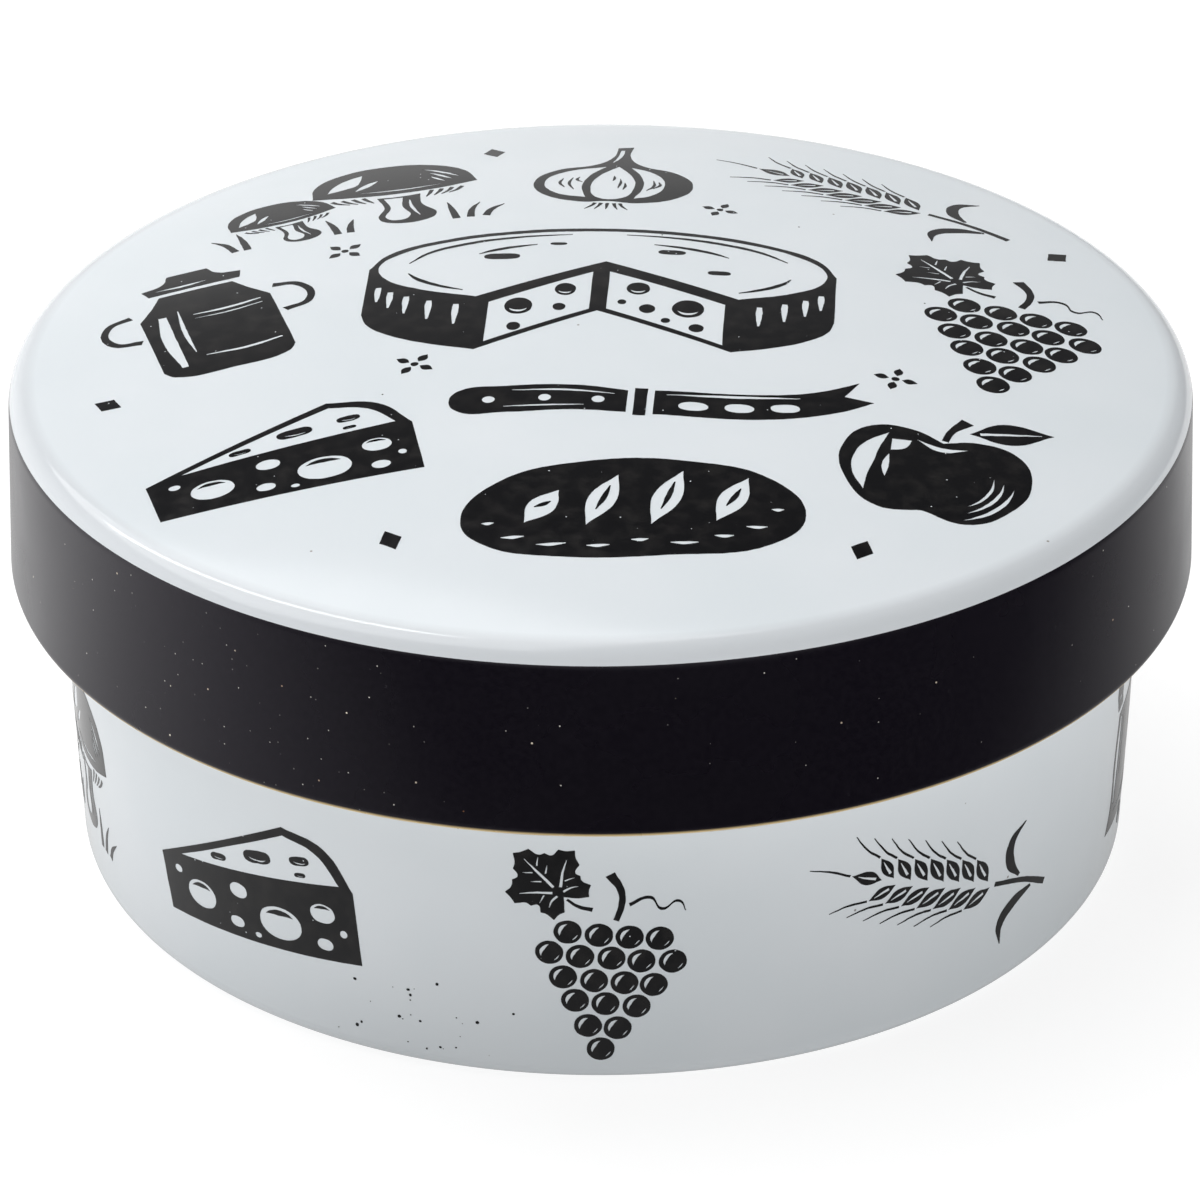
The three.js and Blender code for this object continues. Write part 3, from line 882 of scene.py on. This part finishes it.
def churn():
    """A milk churn."""
    half = [(6.4, -12.7), (7.4, -11.2, 1), (7.4, 2.6, 1), (5.6, 5.4), (4.2, 8.2, 1)]
    mirrored = [(-p[0],) + p[1:] for p in half[::-1]]
    loops = [mirrored + [(0.0, -13.6)] + half]
    loops.append(brush([(-4.9, 2.6), (-5.3, -4.0), (-4.9, -11.0)], [0.9, 1.5, 0.7]))
    loops.append(nick((-3.0, 3.4), (-3.3, -3.0), (-3.1, -8.0), 0.5))
    loops.append(brush([(-1.6, 1.6), (2.4, 1.4), (6.2, 2.0)], [0.2, 0.5, 0.3]))
    loops.append(brush([(-2.2, -9.2), (2.4, -9.6), (6.4, -8.9)], [0.2, 0.5, 0.3]))
    loops.append(brush([(-1.6, 0.5), (2.4, 0.3), (6.2, 0.9)], [0.12, 0.3, 0.2]))
    cover = [(5.2, 9.0, 1), (5.7, 10.8, 1), (3.2, 11.6), (2.3, 13.6, 1)]
    loops.append(cover + [(-p[0],) + p[1:] for p in cover[::-1]])
    loops.append(nick((-4.2, 10.2), (-1.0, 10.0), (1.6, 10.2), 0.5))
    for side in (-1, 1):
        ear = [(8.1 * side, 4.6), (10.8 * side, 3.6), (11.0 * side, -1.2), (8.1 * side, -2.4)]
        loops.append(brush(ear, [1.0, 0.9, 0.9, 1.0]))
    return loops


def lozenge():
    """A small filler."""
    return [[(0.0, 1.7, 1), (1.2, 0.0, 1), (0.0, -1.7, 1), (-1.2, 0.0, 1)]]


def star():
    """Four small petals round a dot."""
    loops = [oval(0, 0, 0.9, 0.9)]
    for turn in (45, 135, 225, 315):
        x, y = math.cos(math.radians(turn)), math.sin(math.radians(turn))
        loops.append(blade((0.75 * x, 0.75 * y), (2.6 * x, 2.6 * y), 1.1))
    return loops


def onto_dome(point):
    """A point of the flat sheet on the dome, straight above its place: Y runs to the back."""
    reach = DOME_RADIUS + point.z
    return point.x, point.y, dome[1] + math.sqrt(reach**2 - point.x**2 - point.y**2)


ON_LID = (
    (wheel, 0.0, 7.0, 1.26, -3),
    (knife, 7.0, -20.0, 1.14, -4),
    (wedge, -36.5, -29.5, 1.0, 12),
    (apple, 38.5, -31.5, 1.10, -12),
    (loaf, 3.5, -43.5, 1.18, 3),
    (churn, -46.0, 5.5, 1.06, 14),
    (grapes, 46.0, 2.5, 0.98, -12),
    (mushrooms, -30.5, 38.0, 1.06, 10),
    (wheat, 32.0, 40.0, 0.88, 58),
    (garlic, 2.0, 43.0, 0.98, -6),
)
FILLERS = (
    (star, -21.5, -12.0, 1.0, 10),
    (star, 34.0, -14.0, 1.0, 30),
    (star, -30.5, 20.5, 1.0, 0),
    (star, 14.5, 31.0, 0.9, 20),
    (lozenge, -23.5, -48.5, 1.1, 20),
    (lozenge, 29.0, -50.0, 1.1, -20),
    (lozenge, -57.0, -13.5, 1.1, 60),
    (lozenge, 55.0, 25.5, 1.1, -40),
    (lozenge, -13.0, 54.0, 1.1, 10),
)
prints = []
for draw, x, y, size, turn in ON_LID + FILLERS:
    prints.append((draw(), x, y, size, turn))
for _ in range(DOME_SPOTS):
    spot = [oval(0.0, 0.0, 1.0, 0.9)]
    x = spatter.uniform(-SPOTS_ACROSS, SPOTS_ACROSS)
    prints.append((spot, x, spatter.uniform(-SPOTS_DEEP, SPOTS_DEEP), DOME_SPOT, 0.0))
half_way = int(PRINT_REACH / LID_CELL)
cuts = [step * LID_CELL for step in range(-half_way, half_way + 1)]
lid_print = transfer(prints, "lid_print", cuts, cuts, onto_dome)
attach(lid_print, "lid")

# Floor. A plain pale sweep, white to the camera but for the baker's own soft shadow. It lights the
# baker from below like a lit table that is dimmer close in front of it and close behind, and in gloss
# it shows as a pool of light behind and to the left.
FLOOR_SIZE = 6.0
FLOOR_LIT = 1.5
FLOOR_DIM = 0.5
DIM_SPOT = (0.024, -0.056, 0.0)
DIM_NEAR = 0.05
DIM_FAR = 0.15
REAR_DIM = 0.35
REAR_SPOT = (-0.055, 0.125, 0.0)
REAR_NEAR = 0.06
REAR_FAR = 0.15
FLOOR_SHADE = (0.3, 0.3, 0.3, 1.0)
FLOOR_GLOW = 0.82
POOL_TURN = math.radians(113.0)
POOL_NEAR = -0.108
POOL_FAR = 0.075
POOL_DARK = 0.02
WHITE = (1.0, 1.0, 1.0, 1.0)

sweep = bmesh.new()
bmesh.ops.create_grid(sweep, x_segments=1, y_segments=1, size=FLOOR_SIZE / 2)
pale = bpy.data.materials.new("pale_floor")
pale.use_nodes = True
tree = pale.node_tree
tree.nodes.clear()
path = add_node(tree, "LightPath", {}).outputs
shade = add_node(tree, "BsdfDiffuse", {"Color": FLOOR_SHADE}).outputs["BSDF"]
glow = add_node(tree, "Emission", {"Strength": FLOOR_GLOW}).outputs["Emission"]
seen = add_node(tree, "AddShader", {0: shade, 1: glow}).outputs["Shader"]
place = add_node(tree, "TexCoord", {}).outputs["Object"]
turned = add_node(tree, "Mapping", {"Vector": place, "Rotation": (0.0, 0.0, -POOL_TURN)}).outputs["Vector"]
away = add_node(tree, "SeparateXYZ", {"Vector": turned}).outputs["X"]
pool = spread(tree, away, POOL_DARK, 1.0, POOL_NEAR, POOL_FAR)
mirrored = add_node(tree, "Emission", {"Strength": pool}).outputs["Emission"]
reach = add_node(tree, "VectorMath", {0: place, 1: DIM_SPOT}, operation="DISTANCE").outputs["Value"]
ground = spread(tree, reach, FLOOR_DIM, FLOOR_LIT, DIM_NEAR, DIM_FAR)
rear = add_node(tree, "VectorMath", {0: place, 1: REAR_SPOT}, operation="DISTANCE").outputs["Value"]
shared = {0: ground, 1: spread(tree, rear, REAR_DIM, 1.0, REAR_NEAR, REAR_FAR)}
ground = add_node(tree, "Math", shared, operation="MULTIPLY").outputs["Value"]
lit = add_node(tree, "Emission", {"Strength": ground}).outputs["Emission"]
in_gloss = add_node(tree, "MixShader", {0: path["Is Glossy Ray"], 1: lit, 2: mirrored}).outputs["Shader"]
in_view = add_node(tree, "MixShader", {0: path["Is Camera Ray"], 1: in_gloss, 2: seen}).outputs["Shader"]
add_node(tree, "OutputMaterial", {"Surface": in_view})
floor = stand(sweep, "floor", [pale])

# Backdrop of the room: bright round the horizon, dark overhead and behind on the right, and plain
# white to the camera.
ROOM = ((0.0, 0.82), (0.1, 0.77), (0.26, 0.55), (0.41, 0.22), (0.55, 0.09), (0.72, 0.03))
DARK_WAY = (0.906, 0.423, 0.0)
DARK_START = 0.25
DARK_END = 0.75
DARK_SHARE = 0.9
BLACK = (0.0, 0.0, 0.0, 1.0)
room = bpy.data.worlds.new("studio")
bpy.context.scene.world = room
room.use_nodes = True
tree = room.node_tree
tree.nodes.clear()
path = add_node(tree, "LightPath", {}).outputs
way = add_node(tree, "TexCoord", {}).outputs["Generated"]
rise = add_node(tree, "SeparateXYZ", {"Vector": way}).outputs["Z"]
ramp = add_node(tree, "ValToRGB", {"Fac": rise})
ramp.color_ramp.interpolation = "EASE"
steps = ramp.color_ramp.elements
steps.remove(steps[1])
steps[0].position = ROOM[0][0]
for place, _ in ROOM[1:]:
    steps.new(place)
for step, (_, grey) in zip(steps, ROOM):
    step.color = (grey, grey, grey, 1.0)
across = add_node(tree, "VectorMath", {0: way, 1: DARK_WAY}, operation="DOT_PRODUCT").outputs["Value"]
dusk = spread(tree, across, 0.0, DARK_SHARE, DARK_START, DARK_END)
dimmed = blend(tree, dusk, ramp.outputs["Color"], BLACK)
walls = add_node(tree, "Background", {"Color": dimmed}).outputs["Background"]
white = add_node(tree, "Background", {"Color": WHITE}).outputs["Background"]
seen = add_node(tree, "MixShader", {0: path["Is Camera Ray"], 1: walls, 2: white}).outputs["Shader"]
add_node(tree, "OutputWorld", {"Surface": seen})

# Lamps. A large soft key high on the left with a tall narrow strip behind it, and a top light and a
# low fill in front on the right that the gloss doesn't show.
LAMP_DISTANCE = 1.3


def softbox(name, azimuth, rise, width, height, watts, in_gloss=True):
    """A softbox that faces the baker. Azimuth 0 is the camera's side, and 90 is to its right."""
    lamp_data = bpy.data.lights.new(name, "AREA")
    lamp_data.shape = "RECTANGLE"
    lamp_data.size = width
    lamp_data.size_y = height
    lamp_data.energy = watts
    lamp = bpy.data.objects.new(name, lamp_data)
    lamp.visible_glossy = in_gloss
    bpy.context.scene.collection.objects.link(lamp)
    turn, up = math.radians(azimuth), math.radians(rise)
    way = Vector((math.sin(turn) * math.cos(up), -math.cos(turn) * math.cos(up), math.sin(up)))
    lamp.location = way * LAMP_DISTANCE + Vector((0.0, 0.0, DISH_HEIGHT))
    lamp.rotation_euler = way.to_track_quat("Z", "Y").to_euler()


softbox("key", -108.0, 62.0, 1.8, 1.4, 15.4)
softbox("strip", -128.0, 57.0, 0.18, 0.85, 3.0)
softbox("top", 180.0, 76.0, 1.6, 0.6, 5.2, in_gloss=False)
softbox("fill", 60.0, 10.0, 2.0, 0.35, 3.8, in_gloss=False)

bpy.context.scene.view_settings.view_transform = "Standard"
